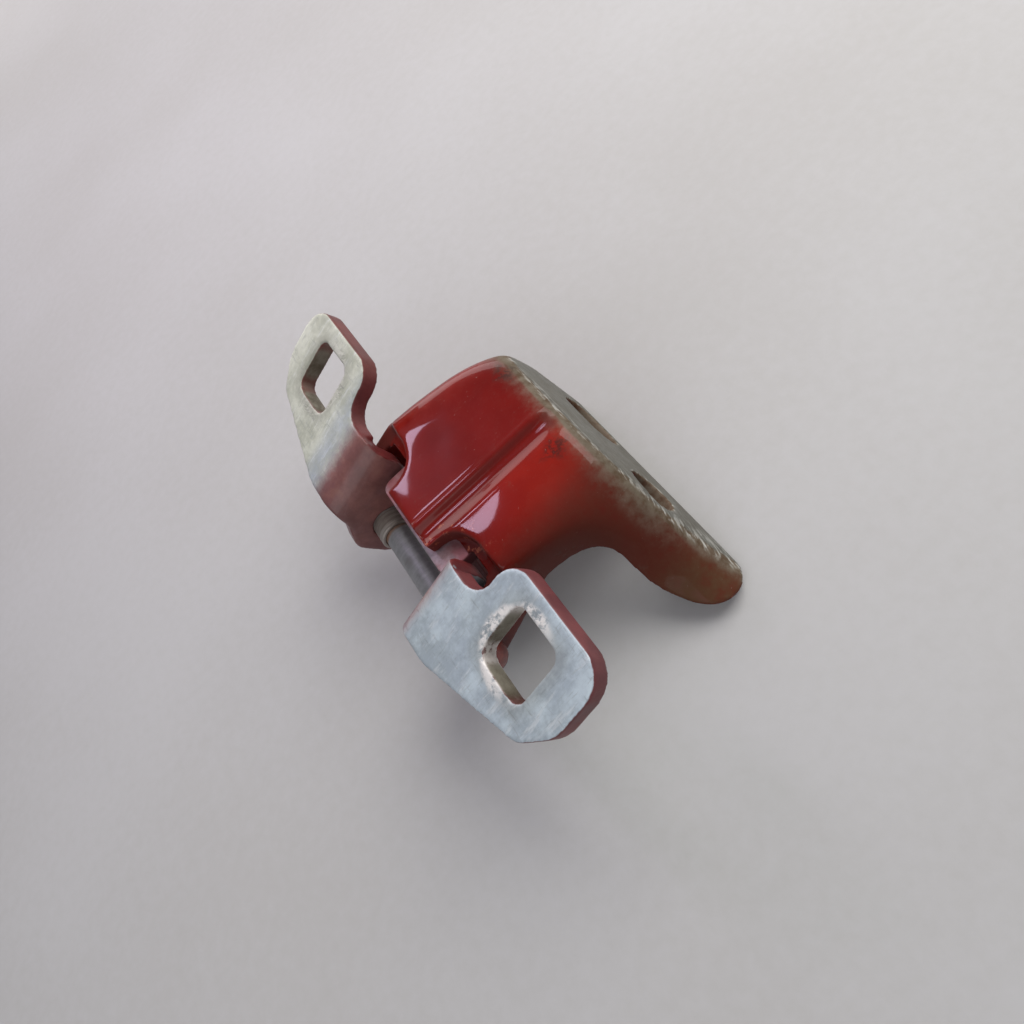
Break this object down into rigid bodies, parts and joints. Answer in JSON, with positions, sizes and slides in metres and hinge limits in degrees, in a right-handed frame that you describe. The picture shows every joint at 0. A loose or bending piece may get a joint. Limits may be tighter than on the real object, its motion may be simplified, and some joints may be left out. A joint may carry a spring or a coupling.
{
  "type": "vehicle door hinge",
  "caption": "Pressed-steel vehicle door hinge: a deep-drawn pillar bracket and a two-tab door leaf with square fixing holes, joined by a riveted pivot pin.",
  "frame": {"origin": "centre of the footprint, at the level the hinge stands on when the web is level", "axes": "+Y along the pivot pin; +X along the bracket's web from the pin towards the pillar face; +Z out of the web's outer side"},
  "size_m": [0.0664, 0.1244, 0.0457],
  "materials": {
    "red_paint": "glossy, worn at the bends",
    "zinc_plate": "dull zinc",
    "pin_steel": "turned, lightly rusted",
    "bush_metal": "dull",
    "washer_polymer": "matte",
    "worn_zinc_leaf": "worn zinc with red overspray on the bends and edges"
  },
  "bodies": {
    "bracket": {"pillar_bracket": "red_paint", "web_doubler": "zinc_plate", "pivot_pin": "pin_steel", "left_thrust_washer": "washer_polymer", "right_thrust_washer": "washer_polymer"},
    "leaf": {"door_leaf": "worn_zinc_leaf", "left_bush": "bush_metal", "right_bush": "bush_metal"}
  },
  "joints": [
    {"name": "door_swing", "type": "hinge", "parent": "bracket", "child": "leaf", "pos_m": [-0.0227, 0, 0.017], "axis": [0, -1, 0], "range_deg": [-3, 75]}
  ]
}
